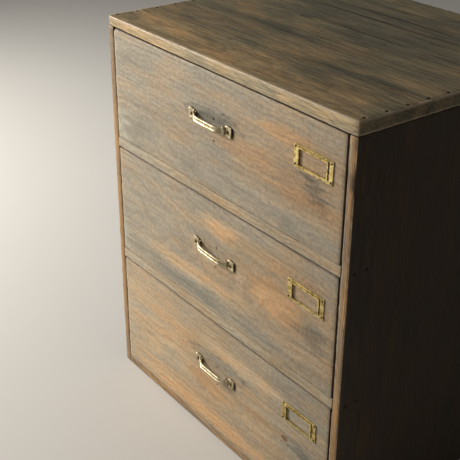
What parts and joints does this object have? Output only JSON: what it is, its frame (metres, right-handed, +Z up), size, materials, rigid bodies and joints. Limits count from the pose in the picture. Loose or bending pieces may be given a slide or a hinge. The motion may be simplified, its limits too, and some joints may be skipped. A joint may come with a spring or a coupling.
{
  "type": "drawer cabinet",
  "caption": "Low wooden filing chest with deep flush drawers on slides, brass bow pulls and brass label frames, plain board case that stands on the floor.",
  "frame": {"origin": "centre of the case's base, on the floor, midway between the sides and between the front and back faces of the case", "axes": "+Z up; the drawer fronts face -Y and the drawers slide out along -Y; +X to the right of someone who faces the drawers"},
  "size_m": [0.6, 0.4935, 0.6932],
  "materials": {
    "top_wood": "old planed softwood, darkened brown with grey wear and a satin sheen",
    "case_wood": "old softwood, brown, dry and worn along the edges",
    "front_wood": "old softwood, grey-brown with tan patches and scratches, matt",
    "inner_wood": "plain unfinished softwood, tan, matt",
    "pull_brass": "cast brass, polished by hands on the grip and dull in the hollows",
    "label_brass": "thin pressed brass, dull and slightly green",
    "screw_brass": "small brass screws and pins, dark in their slots"
  },
  "bodies": {
    "case": {"top_board": "top_wood", "left_side": "case_wood", "right_side": "case_wood", "bottom_board": "case_wood", "back_board_lower": "inner_wood", "back_board_middle": "inner_wood", "back_board_upper": "inner_wood", "upper_rail": "case_wood", "lower_rail": "case_wood", "upper_rear_rail": "inner_wood", "lower_rear_rail": "inner_wood", "upper_runner_left": "inner_wood", "upper_runner_right": "inner_wood", "lower_runner_left": "inner_wood", "lower_runner_right": "inner_wood", "top_drawer_stop": "inner_wood", "middle_drawer_stop": "inner_wood", "bottom_drawer_stop": "inner_wood"},
    "top_drawer": {"top_drawer_front": "front_wood", "top_drawer_side_left": "inner_wood", "top_drawer_side_right": "inner_wood", "top_drawer_bottom": "inner_wood", "top_drawer_back": "inner_wood", "top_pull": "pull_brass", "top_pull_screw_left": "screw_brass", "top_pull_screw_right": "screw_brass", "top_label_frame": "label_brass", "top_label_pin_upper_left": "screw_brass", "top_label_pin_upper_right": "screw_brass", "top_label_pin_lower_left": "screw_brass", "top_label_pin_lower_right": "screw_brass"},
    "middle_drawer": {"middle_drawer_front": "front_wood", "middle_drawer_side_left": "inner_wood", "middle_drawer_side_right": "inner_wood", "middle_drawer_bottom": "inner_wood", "middle_drawer_back": "inner_wood", "middle_pull": "pull_brass", "middle_pull_screw_left": "screw_brass", "middle_pull_screw_right": "screw_brass", "middle_label_frame": "label_brass", "middle_label_pin_upper_left": "screw_brass", "middle_label_pin_upper_right": "screw_brass", "middle_label_pin_lower_left": "screw_brass", "middle_label_pin_lower_right": "screw_brass"},
    "bottom_drawer": {"bottom_drawer_front": "front_wood", "bottom_drawer_side_left": "inner_wood", "bottom_drawer_side_right": "inner_wood", "bottom_drawer_bottom": "inner_wood", "bottom_drawer_back": "inner_wood", "bottom_pull": "pull_brass", "bottom_pull_screw_left": "screw_brass", "bottom_pull_screw_right": "screw_brass", "bottom_label_frame": "label_brass", "bottom_label_pin_upper_left": "screw_brass", "bottom_label_pin_upper_right": "screw_brass", "bottom_label_pin_lower_left": "screw_brass", "bottom_label_pin_lower_right": "screw_brass"}
  },
  "joints": [
    {"name": "top_drawer_slide", "type": "slide", "parent": "case", "child": "top_drawer", "axis": [0, -1, 0], "range_m": [0, 0.35]},
    {"name": "middle_drawer_slide", "type": "slide", "parent": "case", "child": "middle_drawer", "axis": [0, -1, 0], "range_m": [0, 0.35]},
    {"name": "bottom_drawer_slide", "type": "slide", "parent": "case", "child": "bottom_drawer", "axis": [0, -1, 0], "range_m": [0, 0.35]}
  ]
}
